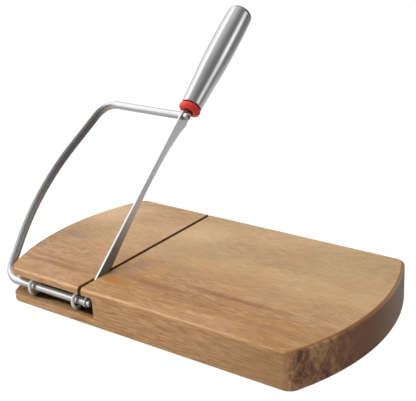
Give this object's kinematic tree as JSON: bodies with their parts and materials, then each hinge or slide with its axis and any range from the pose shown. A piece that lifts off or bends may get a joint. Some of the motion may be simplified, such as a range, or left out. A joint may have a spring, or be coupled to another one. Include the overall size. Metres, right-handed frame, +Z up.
{
  "type": "cheese cutter with board",
  "caption": "Wooden cutting board with curved ends, a cross slot and a hinged bent-rod bow that carries a straight-backed steel blade, a red collar and a steel grip.",
  "frame": {"origin": "centre of the board's underside", "axes": "+X along the board away from the bow, -Y towards the hinge side, +Z up"},
  "size_m": [0.3092, 0.2319, 0.2036],
  "materials": {
    "board_wood": "oiled, long grain",
    "eye_steel": "satin",
    "bow_steel": "satin",
    "blade_steel": "ground",
    "screw_steel": "bright",
    "collar_red": "smooth, slightly glossy",
    "handle_steel": "brushed along its length",
    "core_plastic": "plain",
    "pin_steel": "plain"
  },
  "bodies": {
    "base": {"board": "board_wood", "hinge_eye_left": "eye_steel", "hinge_eye_right": "eye_steel"},
    "arm": {"bow": "bow_steel", "blade": "blade_steel", "blade_screw_lower": "screw_steel", "blade_screw_upper": "screw_steel", "blade_washer_upper": "screw_steel", "collar": "collar_red", "handle": "handle_steel", "handle_core": "core_plastic", "tang_pin": "pin_steel"}
  },
  "joints": [
    {"name": "arm_hinge", "type": "hinge", "parent": "base", "child": "arm", "pos_m": [0, -0.0766, 0.0143], "axis": [1, 0, 0], "range_deg": [-40, 139]}
  ]
}
